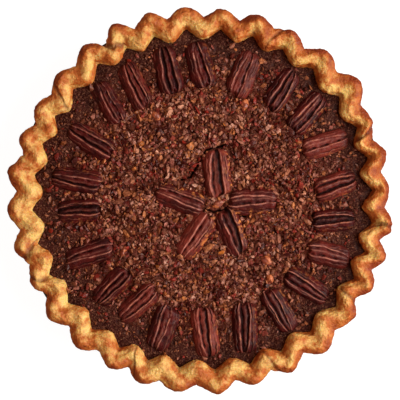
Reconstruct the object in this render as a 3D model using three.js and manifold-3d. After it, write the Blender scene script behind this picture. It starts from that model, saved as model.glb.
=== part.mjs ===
// A whole pecan pie in its own pie tin: a pressed tin, a pastry shell whose rim is pinched into
// flutes by hand, a set nut filling, and pecan halves laid on it, a ring of them round a
// five-pointed star, with a few broken pieces between.
// Millimetres, +Z up. The origin is the middle of the tin's underside.

import * as THREE from 'three';
import Module from 'manifold-3d';

const wasm = await Module();
wasm.setup();

// ---------------------------------------------------------------- driving sizes

const GAP = 0.35; // left between pieces that touch
const ROUND_POINTS = 40; // points on a plain circle

const TIN_FLOOR_RADIUS = 90; // inside
const TIN_MOUTH_RADIUS = 113.4; // inside
const TIN_HEIGHT = 30;
const TIN_SHEET = 1;
const TIN_FLARE = (TIN_MOUTH_RADIUS - TIN_FLOOR_RADIUS) / (TIN_HEIGHT - TIN_SHEET);
const BEAD_CENTRE_RADIUS = 117.4; // the rolled edge at the end of the flange
const BEAD_RADIUS = 1.3;
const BEAD_POINTS = 4;

const CRUST_FLOOR = 4; // thickness of the pastry under the filling
const CRUST_FOOT_RADIUS = 86; // inside, where floor meets wall
const CRUST_SHOULDER = { radius: 102.5, z: 26 }; // inside, where the flutes begin

const FLUTES = 32;
const POINTS_PER_FLUTE = 6;
const POINTS_PER_EDGE_FLUTE = 4; // on the filling line and underneath, where the flutes are shallow
const FIRST_FLUTE = 4.3; // degrees from +X to the first flute's tip
const SCALLOPING = 0.55; // 0 makes the edges plain waves, 1 makes them rounded knobs with sharp notches
// The edges of the rim: the middle of its swing, the swing each way, and how far it lies off
// centre towards +X. The outer edge lies off centre towards a direction of its own.
const RIM_OUTSIDE = { radius: 121.5, flute: 3.2, shift: 0.8, shiftAngle: -31 };
const RIM_INSIDE = { radius: 107.6, flute: 4.2, shift: 1.7 };
const RIM_LINE = { radius: 106.8, flute: 3.2, shift: 1.7 }; // where the filling meets it
const RIM_TOP = 40.8;
const RIM_INSIDE_HEIGHT = 35;
const RIM_OUTSIDE_HEIGHT = 34.6;
const RIM_UNDERCUT = 2.2; // how far the edge under the rim is set in

const FILLING_EDGE = 31; // height where the filling meets the rim
const FILLING_DOME = 1.4; // how much higher it stands in the middle
const FILLING_RADIUS = 108; // where the dome has fallen to the edge height
const FILLING_RINGS = [{ radius: 36, points: 16 }, { radius: 74, points: 32 }];

const NUT_RISE = 4.2; // a pecan half above its widest level
const NUT_SINK = 2.4; // and below it
const NUT_BURY = 0.6; // how far the widest level lies below the filling's surface

const radians = THREE.MathUtils.degToRad;
const between = THREE.MathUtils.lerp;

// ---------------------------------------------------------------- solids from rings

// A ring is a list of points round an axis, counter-clockwise seen from the axis's far end. A
// ring of one point closes the solid on the axis. Rings run from the far pole, out over the
// surface, to the near pole, and neighbours may have different numbers of points.
function solidThroughRings(rings) {
  const triangles = [];
  let start = 0;
  for (let r = 0; r + 1 < rings.length; r++) {
    stitch(triangles, start, rings[r].length, start + rings[r].length, rings[r + 1].length);
    start += rings[r].length;
  }
  const positions = rings.flat().flatMap((p) => p.toArray());
  const geometry = new THREE.BufferGeometry();
  geometry.setAttribute('position', new THREE.Float32BufferAttribute(positions, 3));
  geometry.setIndex(triangles);
  return geometry;
}

// Joins two rings by stepping along whichever lags behind round the axis.
function stitch(triangles, upperStart, upperCount, lowerStart, lowerCount) {
  const upperSteps = upperCount > 1 ? upperCount : 0;
  const lowerSteps = lowerCount > 1 ? lowerCount : 0;
  let i = 0;
  let j = 0;
  while (i < upperSteps || j < lowerSteps) {
    const upper = upperStart + (i % upperCount);
    const lower = lowerStart + (j % lowerCount);
    const upperNext = i < upperSteps ? (i + 0.5) / upperSteps : Infinity;
    const lowerNext = j < lowerSteps ? (j + 0.5) / lowerSteps : Infinity;
    if (upperNext <= lowerNext) {
      i++;
      triangles.push(upper, lower, upperStart + (i % upperCount));
    } else {
      j++;
      triangles.push(upper, lower, lowerStart + (j % lowerCount));
    }
  }
}

function pole(z) {
  return [new THREE.Vector3(0, 0, z)];
}

function polarPoint(radius, angle, z) {
  return new THREE.Vector3(radius * Math.cos(angle), radius * Math.sin(angle), z);
}

function circle(radius, z, count = ROUND_POINTS) {
  return Array.from({ length: count }, (_, i) =>
    polarPoint(radius, radians(FIRST_FLUTE) + (2 * Math.PI * i) / count, z));
}

// ---------------------------------------------------------------- the tin

// Radius of the tin's inner wall at a height.
function tinWall(z) {
  return TIN_FLOOR_RADIUS + TIN_FLARE * (z - TIN_SHEET);
}

function tinGeometry() {
  const sheetAcross = TIN_SHEET * Math.hypot(1, TIN_FLARE); // the sheet measured level
  const flangeUnder = TIN_HEIGHT - TIN_SHEET;
  const beadHeight = TIN_HEIGHT - BEAD_RADIUS;
  // The bead runs from the flange's top, over its outside and back to the flange's underside.
  const beadEnd = -Math.PI - Math.asin((flangeUnder - beadHeight) / BEAD_RADIUS);
  const bead = Array.from({ length: BEAD_POINTS + 1 }, (_, i) => {
    const angle = Math.PI / 2 + ((beadEnd - Math.PI / 2) * i) / BEAD_POINTS;
    return circle(BEAD_CENTRE_RADIUS + BEAD_RADIUS * Math.cos(angle),
      beadHeight + BEAD_RADIUS * Math.sin(angle));
  });
  return solidThroughRings([
    pole(TIN_SHEET),
    circle(TIN_FLOOR_RADIUS, TIN_SHEET),
    circle(TIN_MOUTH_RADIUS, TIN_HEIGHT),
    ...bead,
    circle(tinWall(flangeUnder) + sheetAcross, flangeUnder),
    circle(tinWall(0) + sheetAcross, 0),
    pole(0),
  ]);
}

// ---------------------------------------------------------------- the fluted rim

// A flute's own value passing smoothly into the next one's. f counts flutes round the rim.
function alongFlutes(f, valueOf) {
  const flute = Math.floor(f);
  const part = f - flute;
  const onRim = (n) => ((n % FLUTES) + FLUTES) % FLUTES;
  return between(valueOf(onRim(flute)), valueOf(onRim(flute + 1)), part * part * (3 - 2 * part));
}

// A scattered number from -1 to 1 for each flute and trait, the same every time.
function unevenness(f, trait) {
  return alongFlutes(f, (flute) => {
    const scattered = Math.sin(flute * 12.9898 + trait * 78.233) * 43758.5453;
    return 2 * (scattered - Math.floor(scattered)) - 1;
  });
}

// Flutes whose tips reach noticeably further out than the rest, or less far.
const TIP_REACH = {
  0: -3, 1: -1.7, 2: -2.2, 3: 2.8, 4: 1.4, 7: -0.6, 8: 0.8, 9: 1, 10: 2.3, 11: 0.8, 12: -0.5,
  13: -1.6, 15: 1.9, 16: 0.8, 18: -2.3, 21: -1.3, 24: 0.8, 25: -0.7, 26: 0.9, 27: 1.8,
};

// The same for the notches between tips, each numbered after the tip that follows it.
const NOTCH_REACH = {
  0: 1.8, 1: 1, 3: 1.5, 5: -1.2, 6: 1.8, 7: 1.2, 10: -1.5, 11: -1.5, 13: 1, 14: 1, 15: -1,
  18: 1, 23: 1.5, 27: -1.5, 28: 1,
};

// How the pinches wander from even spacing: waves per turn, degrees, phase in degrees.
const PINCH_WANDER = [[1, 0.7, 65], [2, 0.85, 145], [3, 0.75, 115], [4, 0.5, 140], [8, 0.45, 267]];

function fluteAngle(f) {
  const even = (2 * Math.PI * f) / FLUTES + radians(FIRST_FLUTE);
  const wander = PINCH_WANDER.map(([waves, size, phase]) =>
    size * Math.cos(waves * even + radians(phase)));
  return even + radians(wander.reduce((sum, w) => sum + w, 0));
}

// 1 at a flute's outer tip and -1 at its inner one.
function pinch(f) {
  return Math.cos(2 * Math.PI * f);
}

// The same swing along the rim's outside and inside: round knobs that stick out of the rim, with
// narrow notches between them.
function outerSwing(f) {
  return between(pinch(f), 2 * Math.abs(Math.cos(Math.PI * f)) - 1, SCALLOPING);
}

function innerSwing(f) {
  return between(pinch(f), 1 - 2 * Math.abs(Math.sin(Math.PI * f)), SCALLOPING);
}

// Radius of an edge of the rim, which swings with the flutes and lies a little off centre.
function swingingEdge(edge, swing, f, uneven) {
  const shift = edge.shift * Math.cos(fluteAngle(f) - radians(edge.shiftAngle ?? 0));
  return edge.radius + edge.flute * swing(f) + shift + uneven * unevenness(f, 2);
}

// How much further out than the rest a tip or a notch reaches.
function outerReach(f) {
  const notch = (1 - Math.cos(2 * Math.PI * f)) / 2;
  return alongFlutes(f, (flute) => TIP_REACH[flute] ?? 0)
    + notch * alongFlutes(f + 0.5, (flute) => NOTCH_REACH[flute] ?? 0);
}

const rim = {
  outer: (f) => swingingEdge(RIM_OUTSIDE, outerSwing, f, 0) + outerReach(f),
  inner: (f) => swingingEdge(RIM_INSIDE, innerSwing, f, 0.8),
  line: (f) => swingingEdge(RIM_LINE, innerSwing, f, 0.4),
  // The crest lies near the outer edge at a flute's tip, and near the inner edge between tips.
  crest: (f) => between(rim.inner(f), rim.outer(f), 0.54 + 0.15 * pinch(f) + 0.05 * unevenness(f, 3)),
  top: (f) => RIM_TOP + 0.7 * unevenness(f, 4),
};

// Sections of the rim from the filling line, over the crest, to the underside on the flange.
const RIM_SECTIONS = [
  { radius: rim.line, z: () => FILLING_EDGE, points: POINTS_PER_EDGE_FLUTE },
  { radius: rim.inner, z: (f) => RIM_INSIDE_HEIGHT + 0.5 * unevenness(f, 5) },
  { radius: (f) => between(rim.inner(f), rim.crest(f), 0.45), z: (f) => rim.top(f) - 2.6 - 1.2 * pinch(f) },
  { radius: rim.crest, z: rim.top },
  { radius: (f) => between(rim.crest(f), rim.outer(f), 0.6), z: (f) => rim.top(f) - 3 + 1.4 * pinch(f) },
  { radius: rim.outer, z: (f) => RIM_OUTSIDE_HEIGHT + 0.5 * unevenness(f, 6) },
  { radius: (f) => rim.outer(f) - RIM_UNDERCUT, z: () => TIN_HEIGHT + GAP, points: POINTS_PER_EDGE_FLUTE },
];

function flutedRing(section, inset = 0) {
  const perFlute = section.points ?? POINTS_PER_FLUTE;
  return Array.from({ length: FLUTES * perFlute }, (_, i) => {
    const f = i / perFlute;
    return polarPoint(section.radius(f) - inset, fluteAngle(f), section.z(f));
  });
}

const CRUST_UNDER = TIN_SHEET + GAP;
const CRUST_INSIDE = CRUST_UNDER + CRUST_FLOOR;
const WALL_GAP = 0.45; // the same gap measured level across a sloping wall

function crustGeometry() {
  return solidThroughRings([
    pole(CRUST_INSIDE),
    circle(CRUST_FOOT_RADIUS, CRUST_INSIDE),
    circle(CRUST_SHOULDER.radius, CRUST_SHOULDER.z),
    ...RIM_SECTIONS.map((section) => flutedRing(section)),
    circle(tinWall(TIN_HEIGHT + GAP) - WALL_GAP, TIN_HEIGHT + GAP),
    circle(tinWall(CRUST_UNDER) - WALL_GAP, CRUST_UNDER),
    pole(CRUST_UNDER),
  ]);
}

// ---------------------------------------------------------------- pecan halves

// Across the nut, from its right edge over the top to its left edge and back underneath, as
// shares of half the width and of the rise or sink: two lobes a side, a deep groove each side
// of a thin middle ridge, and a flat underside.
const NUT_SECTION = [
  [1, 0], [0.74, 0.7], [0.44, 0.98], [0.2, 0.66], [0, 0.86],
  [-0.2, 0.66], [-0.44, 0.98], [-0.74, 0.7], [-1, 0], [-0.55, -1], [0.55, -1],
];
const NUT_STATIONS = [0.93, 0.62, 0, -0.62, -0.93]; // along the nut, as shares of half its length
const NUT_TIP = 0.2; // height of the two tips, as a share of the rise
const NUT_BLUNTNESS = 2.4; // 2 gives an ellipse from above, more gives blunter ends
const POCKET_GAP = GAP + 0.1; // round a nut, whose section is straight between its stations

function nutFullness(station) {
  return (1 - Math.abs(station) ** NUT_BLUNTNESS) ** (1 / NUT_BLUNTNESS);
}

function nutGeometry(length, width) {
  const tip = (end) => [new THREE.Vector3((end * length) / 2, 0, NUT_TIP * NUT_RISE)];
  const rings = NUT_STATIONS.map((station) => {
    const full = nutFullness(station);
    return NUT_SECTION.map(([across, up]) => new THREE.Vector3((station * length) / 2,
      (across * full * width) / 2, up * (up > 0 ? NUT_RISE * full ** 0.7 : NUT_SINK * full)));
  });
  return solidThroughRings([tip(1), ...rings, tip(-1)]);
}

// The hollow that a nut sits in: its outline, a gap larger all round, carried straight up.
function nutPocket(length, width) {
  const reach = length / 2 + POCKET_GAP;
  const spread = width / 2 + POCKET_GAP;
  const near = NUT_STATIONS.toReversed();
  const outline = (z) => [
    new THREE.Vector3(reach, 0, z),
    ...NUT_STATIONS.map((s) => new THREE.Vector3(s * reach, nutFullness(s) * spread, z)),
    new THREE.Vector3(-reach, 0, z),
    ...near.map((s) => new THREE.Vector3(s * reach, -nutFullness(s) * spread, z)),
  ];
  const floor = -NUT_SINK - GAP;
  const above = NUT_RISE + GAP;
  return solidThroughRings([pole(above), outline(above), outline(floor), pole(floor)]);
}

// Where each half lies: degrees round the pie from +X, distance out, degrees that its long axis
// leans from straight outwards, length, width. The ring's outer ends dip into the filling.
const RING_NUTS = [
  [6, 87.5, 14, 28.5, 16.5], [24, 88, -6, 31, 15.5], [39, 88.8, 11, 30.5, 16],
  [53.6, 88, 4, 30, 15.5], [71, 85.8, -3, 31.5, 17], [90.2, 87, 14, 31, 17],
  [104.3, 86.2, 1, 32, 17], [120, 85, -5, 32, 15.5], [133.5, 86.2, -13.5, 30, 15],
  [152, 80.5, -5, 33.5, 16.5], [171, 81, 0, 33, 16], [185.5, 79, -1, 29, 16],
  [206, 80, -8, 32.4, 16], [224.5, 80.3, 2, 29, 15.5], [239, 78.5, -18, 31, 15],
  [253.7, 86.5, -4, 30, 17.5], [272, 85.6, 7, 33, 17.5], [289.2, 87.6, -17, 34, 17],
  [305.6, 87.8, -5, 31, 15.5], [320.8, 88.4, 8, 32, 15], [336.8, 90, 10, 28.5, 16],
  [351, 87, 12, 28, 15],
];
const RING_DIP = 4; // degrees that the outer end is lower

// The star: the same figures, with the angle and distance taken from the star's own middle.
const STAR_MIDDLE = [12.4, -3.6];
const STAR_NUTS = [
  [94.4, 20.7, 1, 31, 18.5], [5.7, 21.3, -4, 31.4, 17.5], [294, 18.9, -2.5, 30.5, 17],
  [231.7, 25.3, 4.3, 32.5, 16.5], [171.4, 26, -10.4, 33, 16.5],
];

function surfaceHeight(x, y) {
  return FILLING_EDGE + FILLING_DOME * (1 - (x * x + y * y) / FILLING_RADIUS ** 2);
}

function layNut(name, place, middle, dip, make, look) {
  const [around, out, lean, length, width] = place;
  const x = middle[0] + out * Math.cos(radians(around));
  const y = middle[1] + out * Math.sin(radians(around));
  const nut = new THREE.Mesh(make(length, width), look);
  nut.name = name;
  nut.position.set(x, y, surfaceHeight(x, y) - NUT_BURY);
  nut.rotation.set(0, radians(dip), radians(around + lean), 'ZYX');
  nut.updateMatrix();
  return { nut, pocket: nutPocket(length, width).applyMatrix4(nut.matrix) };
}

// ---------------------------------------------------------------- broken pieces

// Across a broken piece: an uneven lump with one sharp upper edge and a flat underside.
const PIECE_SECTION = [[1, 0], [0.62, 0.75], [0.05, 1], [-0.5, 0.62], [-1, 0], [-0.5, -1], [0.5, -1]];
const PIECE_STATIONS = [[0.78, 0.72], [0, 1], [-0.74, 0.8]]; // share of half the length, fullness
const PIECE_RISE = 0.8 * NUT_RISE;
const PIECE_TIP = 0.3 * NUT_RISE;

function pieceGeometry(length, width) {
  const tip = (end) => [new THREE.Vector3((end * length) / 2, 0, PIECE_TIP)];
  const rings = PIECE_STATIONS.map(([station, full]) =>
    PIECE_SECTION.map(([across, up]) => new THREE.Vector3((station * length) / 2,
      (across * full * width) / 2, up * full * (up > 0 ? PIECE_RISE : NUT_SINK))));
  return solidThroughRings([tip(1), ...rings, tip(-1)]);
}

// Degrees round the pie, distance out, lean, length, width.
const BROKEN_PIECES = [
  [347, 11.8, 33, 9, 5.5], [117.8, 61.2, 12, 8, 6], [65, 67.4, 10, 8.5, 6],
  [311.5, 67.6, -30, 8, 5], [214, 59.8, 35, 8.5, 4.5], [317.5, 58, 10, 9.5, 6.5],
];

// ---------------------------------------------------------------- the filling

function toManifold(geometry) {
  return new wasm.Manifold(new wasm.Mesh({
    numProp: 3,
    vertProperties: new Float32Array(geometry.attributes.position.array),
    triVerts: new Uint32Array(geometry.index.array),
  }));
}

function fromManifold(solid) {
  const mesh = solid.getMesh();
  const geometry = new THREE.BufferGeometry();
  geometry.setAttribute('position', new THREE.BufferAttribute(mesh.vertProperties, 3));
  geometry.setIndex(new THREE.BufferAttribute(mesh.triVerts, 1));
  return geometry;
}

const FILLING_WALL_GAP = 0.6; // wider, because the wall leans far out under the flutes

function fillingGeometry(pockets) {
  const whole = solidThroughRings([
    pole(surfaceHeight(0, 0)),
    ...FILLING_RINGS.map(({ radius, points }) => circle(radius, surfaceHeight(radius, 0), points)),
    flutedRing(RIM_SECTIONS[0], FILLING_WALL_GAP),
    circle(CRUST_SHOULDER.radius - FILLING_WALL_GAP, CRUST_SHOULDER.z),
    circle(CRUST_FOOT_RADIUS - FILLING_WALL_GAP, CRUST_INSIDE + GAP),
    pole(CRUST_INSIDE + GAP),
  ]);
  return fromManifold(pockets.reduce((rest, p) => rest.subtract(toManifold(p)), toManifold(whole)));
}

// ---------------------------------------------------------------- looks and assembly

const darkMetal = new THREE.MeshStandardMaterial({ color: 0x2b2623, roughness: 0.4, metalness: 0.9 });
const bakedPastry = new THREE.MeshStandardMaterial({ color: 0xd99a4e, roughness: 0.7, metalness: 0 });
const setFilling = new THREE.MeshStandardMaterial({ color: 0x4a2415, roughness: 0.5, metalness: 0 });
const roastedNut = new THREE.MeshStandardMaterial({ color: 0x5d241c, roughness: 0.4, metalness: 0 });
const brokenNut = new THREE.MeshStandardMaterial({ color: 0xa05a2c, roughness: 0.5, metalness: 0 });

function numbered(stem, index) {
  return `${stem}_${String(index + 1).padStart(2, '0')}`;
}

function named(name, geometry, look) {
  const mesh = new THREE.Mesh(geometry, look);
  mesh.name = name;
  return mesh;
}

const laid = [
  ...RING_NUTS.map((place) => [place, [0, 0], RING_DIP]),
  ...STAR_NUTS.map((place) => [place, STAR_MIDDLE, 0]),
].map(([place, middle, dip], i) =>
  layNut(numbered('pecan_half', i), place, middle, dip, nutGeometry, roastedNut));
const pieces = BROKEN_PIECES.map((place, i) =>
  layNut(numbered('pecan_piece', i), place, [0, 0], 0, pieceGeometry, brokenNut));

const pie = new THREE.Group();
pie.add(named('pie_tin', tinGeometry(), darkMetal));
pie.add(named('pastry_crust', crustGeometry(), bakedPastry));
pie.add(named('nut_filling', fillingGeometry([...laid, ...pieces].map((one) => one.pocket)), setFilling));
pie.add(...laid.map((one) => one.nut), ...pieces.map((one) => one.nut));

export default pie;
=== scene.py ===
import itertools

import bpy
import numpy as np
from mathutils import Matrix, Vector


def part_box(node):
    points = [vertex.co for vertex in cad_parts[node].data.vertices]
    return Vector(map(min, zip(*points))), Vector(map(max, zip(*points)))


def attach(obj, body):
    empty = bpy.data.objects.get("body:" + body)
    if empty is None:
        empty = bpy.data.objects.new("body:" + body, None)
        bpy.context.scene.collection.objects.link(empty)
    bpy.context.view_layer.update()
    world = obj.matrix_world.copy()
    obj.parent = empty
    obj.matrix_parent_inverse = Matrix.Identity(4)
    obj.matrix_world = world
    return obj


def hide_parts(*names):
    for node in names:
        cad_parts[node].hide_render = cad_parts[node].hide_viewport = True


# A whole pecan pie in its tin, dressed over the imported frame. Lengths are in millimetres until
# a mesh is made, which takes metres. The middle of the tin's underside is the origin.

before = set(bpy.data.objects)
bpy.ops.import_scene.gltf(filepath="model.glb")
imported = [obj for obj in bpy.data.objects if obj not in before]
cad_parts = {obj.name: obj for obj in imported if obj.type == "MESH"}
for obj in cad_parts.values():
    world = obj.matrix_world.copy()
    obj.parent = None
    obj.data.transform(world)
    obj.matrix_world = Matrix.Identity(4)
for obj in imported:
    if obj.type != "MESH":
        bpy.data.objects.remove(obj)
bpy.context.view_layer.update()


# ------------------------------------------------------------------------------ pie tin
# A pie tin pressed from thin steel sheet with a dark non-stick coating. Its wall leans out to
# a narrow flange, whose edge is rolled into a bead, and the pastry hides most of it.

MM = 0.001
TIN_FLOOR_RADIUS = 90
TIN_FLOOR_MIDDLE = TIN_FLOOR_RADIUS - 14
TIN_MOUTH_RADIUS = 113.4
TIN_SHEET = 1
TIN_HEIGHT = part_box("pie_tin")[1].z / MM
TIN_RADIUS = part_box("pie_tin")[1].x / MM
TIN_FLARE = (TIN_MOUTH_RADIUS - TIN_FLOOR_RADIUS) / (TIN_HEIGHT - TIN_SHEET)
SHEET_ACROSS = TIN_SHEET * np.hypot(1, TIN_FLARE)
BEAD = 2.6
ROUND_STEPS = 192


def tin_wall(z):
    """Radius of the tin's inner wall at a height: it grows evenly from floor to mouth."""
    return TIN_FLOOR_RADIUS + TIN_FLARE * (z - TIN_SHEET)


def rounded_outline(corners, steps=6):
    """An outline through corners (radius out, height, rounding). Each corner becomes the curve
    that leaves one side and meets the next, both a rounding's length from the corner."""
    points = np.array([c[:2] for c in corners], float)
    before, after = points - np.roll(points, 1, 0), np.roll(points, -1, 0) - points
    before /= np.linalg.norm(before, axis=1, keepdims=True) + 1e-9
    after /= np.linalg.norm(after, axis=1, keepdims=True) + 1e-9
    rounding = np.array([c[2] for c in corners], float)[:, None, None]
    t = np.linspace(0, 1, steps)[None, :, None]
    start = points[:, None] - before[:, None] * rounding
    end = points[:, None] + after[:, None] * rounding
    curve = start * (1 - t) ** 2 + points[:, None] * 2 * t * (1 - t) + end * t ** 2
    return curve.reshape(-1, 2)


def surface_object(name, points, quads, triangles=(), smooth=True):
    """An object with one mesh of these points, in millimetres, and these faces' corner numbers."""
    mesh = bpy.data.meshes.new(name)
    quads, triangles = np.reshape(quads, (-1, 4)), np.reshape(triangles, (-1, 3))
    corners = np.concatenate([quads.ravel(), triangles.ravel()]).astype(np.int32)
    sizes = np.repeat([4, 3], [len(quads), len(triangles)])
    mesh.vertices.add(len(points))
    mesh.vertices.foreach_set("co", (points * MM).astype(np.float32).ravel())
    mesh.loops.add(len(corners))
    mesh.loops.foreach_set("vertex_index", corners)
    mesh.polygons.add(len(sizes))
    mesh.polygons.foreach_set("loop_start", (np.cumsum(sizes) - sizes).astype(np.int32))
    mesh.polygons.foreach_set("use_smooth", np.full(len(sizes), smooth))
    mesh.update(calc_edges=True)
    piece = bpy.data.objects.new(name, mesh)
    bpy.context.scene.collection.objects.link(piece)
    return piece


def solid_of_rings(name, rings, first_pole, last_pole):
    """A closed solid from rows of points that each go once round, counter-clockwise seen from
    the first pole: quads join each row to the next, and fans close both ends."""
    rows, columns = rings.shape[:2]
    row, column = np.meshgrid(np.arange(rows - 1), np.arange(columns), indexing="ij")
    here = row * columns + column
    beside = row * columns + (column + 1) % columns
    quads = np.stack([here, here + columns, beside + columns, beside], axis=-1)
    round_once = np.arange(columns)
    next_one = (round_once + 1) % columns
    last_row, poles = (rows - 1) * columns, rows * columns
    first_fan = np.stack([np.full(columns, poles), round_once, next_one], axis=-1)
    last_fan = np.stack([last_row + next_one, last_row + round_once,
                         np.full(columns, poles + 1)], axis=-1)
    points = np.concatenate([rings.reshape(-1, 3), [first_pole], [last_pole]])
    return surface_object(name, points, quads, np.concatenate([first_fan, last_fan]))


def polar(radius, angle, z):
    """Points at a radius and angle round the pie's axis, at a height."""
    return np.stack(np.broadcast_arrays(radius * np.cos(angle), radius * np.sin(angle), z), axis=-1)


def add_node(tree, kind, inputs=None, **settings):
    """A node with its settings, each named or numbered input set to a value or linked."""
    made = tree.nodes.new(kind)
    for name, value in settings.items():
        setattr(made, name, value)
    for key, value in (inputs or {}).items():
        if isinstance(value, bpy.types.NodeSocket):
            tree.links.new(value, made.inputs[key])
        else:
            made.inputs[key].default_value = value
    return made


def new_material(name, **shader_values):
    """A material and its node tree, with these constant values on its Principled shader."""
    material = bpy.data.materials.new(name)
    material.use_nodes = True
    shader = material.node_tree.nodes["Principled BSDF"]
    for key, value in shader_values.items():
        shader.inputs[key.replace("_", " ")].default_value = value
    return material, material.node_tree, shader


def colour(red, green, blue):
    """A colour seen on screen, from 0 to 255 each, as the linear values that a shader takes."""
    share = np.array([red, green, blue]) / 255
    linear = np.where(share < 0.04045, share / 12.92, ((share + 0.055) / 1.055) ** 2.4)
    return (*linear.tolist(), 1.0)


def mottling_group():
    """Soft uneven patches. Size is millimetres from patch to patch, Low and High are the noise
    levels where the mask starts and is full, and Shift moves the pattern to another place."""
    group = bpy.data.node_groups.new("mottling", "ShaderNodeTree")
    for name, value in (("Size", 5.0), ("Low", 0.4), ("High", 0.6), ("Shift", 0.0), ("Detail", 3.0)):
        socket = group.interface.new_socket(name, in_out="INPUT", socket_type="NodeSocketFloat")
        socket.default_value = value
    group.interface.new_socket("Mask", in_out="OUTPUT", socket_type="NodeSocketFloat")
    given = add_node(group, "NodeGroupInput").outputs
    place = add_node(group, "ShaderNodeTexCoord").outputs["Object"]
    moved = add_node(group, "ShaderNodeVectorMath", {0: place, 1: given["Shift"]}, operation="ADD")
    scale = add_node(group, "ShaderNodeMath", {0: 1 / MM, 1: given["Size"]}, operation="DIVIDE")
    noise = add_node(group, "ShaderNodeTexNoise", {
        "Vector": moved.outputs[0], "Scale": scale.outputs[0], "Detail": given["Detail"]})
    mask = add_node(group, "ShaderNodeMapRange", {
        "Value": noise.outputs["Fac"], "From Min": given["Low"], "From Max": given["High"]},
        interpolation_type="SMOOTHSTEP")
    out = add_node(group, "NodeGroupOutput")
    group.links.new(mask.outputs["Result"], out.inputs["Mask"])
    return group


MOTTLING = mottling_group()


def mottled(tree, size, low=0.4, high=0.6, shift=0.0, detail=3.0):
    """The mask of soft uneven patches, placed in a material."""
    node = add_node(tree, "ShaderNodeGroup", node_tree=MOTTLING)
    for name, value in (("Size", size), ("Low", low), ("High", high), ("Shift", shift),
                        ("Detail", detail)):
        node.inputs[name].default_value = value
    return node.outputs["Mask"]


def mixed(tree, share, first, second):
    """First colour passing into the second as the share goes from 0 to 1."""
    node = add_node(tree, "ShaderNodeMix", {0: share, 6: first, 7: second}, data_type="RGBA")
    return node.outputs[2]


def reckoned(tree, operation, first, second=0.0, third=0.0, clamp=False):
    """One sum on values that change over the surface."""
    node = add_node(tree, "ShaderNodeMath", {0: first, 1: second, 2: third},
                    operation=operation, use_clamp=clamp)
    return node.outputs[0]


def attribute(tree, name):
    """A value stored on the mesh's points."""
    return add_node(tree, "ShaderNodeAttribute", attribute_name=name).outputs["Fac"]


def bumped(tree, shader, height, distance):
    """Fine relief: the height, from 0 to 1, stands up by this many millimetres."""
    bump = add_node(tree, "ShaderNodeBump", {
        "Height": height, "Distance": distance * MM, "Strength": 1.0})
    tree.links.new(bump.outputs["Normal"], shader.inputs["Normal"])


def store(piece, name, values):
    """Stores one value for each point of the piece's mesh."""
    layer = piece.data.attributes.new(name, "FLOAT", "POINT")
    layer.data.foreach_set("value", np.ravel(values).astype(np.float32))


def settle(piece, material, slot, *nodes):
    """Gives the piece its finish, and lets it ride on the pie in place of these CAD nodes."""
    piece.data.materials.append(material)
    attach(piece, "root")
    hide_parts(*nodes)


def tin_finish():
    """Dark coating: nearly black, a little metallic, rubbed paler in faint patches."""
    material, tree, shader = new_material("dark_tin_coating", Metallic=0.7)
    rubbed = mottled(tree, 14, 0.45, 0.75)
    fine = mottled(tree, 0.9, 0.3, 0.7, detail=2.0)
    base = mixed(tree, rubbed, colour(46, 39, 35), colour(70, 60, 54))
    tree.links.new(base, shader.inputs["Base Color"])
    rough = reckoned(tree, "MULTIPLY_ADD", rubbed, 0.14, 0.34)
    tree.links.new(rough, shader.inputs["Roughness"])
    bumped(tree, shader, fine, 0.02)
    return material


flange_under = TIN_HEIGHT - TIN_SHEET
tin_outline = rounded_outline([
    (TIN_FLOOR_MIDDLE, TIN_SHEET, 0),
    (TIN_FLOOR_RADIUS, TIN_SHEET, 5),
    (TIN_MOUTH_RADIUS, TIN_HEIGHT, 2),
    (TIN_RADIUS, TIN_HEIGHT, BEAD / 2),
    (TIN_RADIUS, TIN_HEIGHT - BEAD, BEAD / 2),
    (TIN_RADIUS - BEAD, TIN_HEIGHT - BEAD, BEAD / 2),
    (TIN_RADIUS - BEAD, flange_under, 0.3),
    (tin_wall(flange_under) + SHEET_ACROSS, flange_under, 1.5),
    (tin_wall(0) + SHEET_ACROSS, 0, 5),
    (TIN_FLOOR_MIDDLE, 0, 0),
])
tin_turn = np.arange(ROUND_STEPS) * 2 * np.pi / ROUND_STEPS
tin_rings = polar(tin_outline[:, :1], tin_turn, tin_outline[:, 1:])
tin = solid_of_rings("tin", tin_rings, (0, 0, TIN_SHEET), (0, 0, 0))
settle(tin, tin_finish(), "dark_tin", "pie_tin")


# ------------------------------------------------------------------------- pastry crust
# Shortcrust pastry pressed into the tin, its edge rolled double and pinched into flutes by
# hand. Baked, it is puffed and finely blistered, pale gold passing into brown in spots and down
# the outer side, darker there towards +X, with painted shade on its steep faces, stronger
# towards the lamp at +X, and dark painted shade in its folds.

FLUTES = 32
FIRST_FLUTE = np.radians(4.3)
# Waves that shift the flutes along the rim: how many go round it, degrees, phase in degrees.
# Rounded from a fit that a program made to the outline of a real crust.
PINCH_WANDER = ((1, 0.7, 65), (2, 0.85, 145), (3, 0.75, 115), (4, 0.5, 140), (8, 0.45, 267))
# Millimetres by which a flute's tip, or the notch before it, stands further out than its even
# outline. Rounded from radii that a program measured on a real crust. Those left out are 0.
TIP_REACH = {0: -3, 1: -1.7, 2: -2.2, 3: 2.8, 4: 1.4, 7: -0.6, 8: 0.8, 9: 1, 10: 2.3, 11: 0.8,
             12: -0.5, 13: -1.6, 15: 1.9, 16: 0.8, 18: -2.3, 21: -1.3, 24: 0.8, 25: -0.7,
             26: 0.9, 27: 1.8}
NOTCH_REACH = {0: 1.8, 1: 1, 3: 1.5, 5: -1.2, 6: 1.8, 7: 1.2, 10: -1.5, 11: -1.5, 13: 1, 14: 1,
               15: -1, 18: 1, 23: 1.5, 27: -1.5, 28: 1}
# The rim's edges, and the line where the filling meets it: middle radius, and its swing.
LINE_RADIUS = 106.8
LINE_SWING = 3.2
INNER_RADIUS = 107.6
INNER_SWING = 4.2
OUTER_RADIUS = 121.3
OUTER_SWING = 3.2
INNER_OFF_CENTRE = 1.7
OUTER_OFF_CENTRE = 0.8
OUTER_OFF_ANGLE = np.radians(31)
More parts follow.
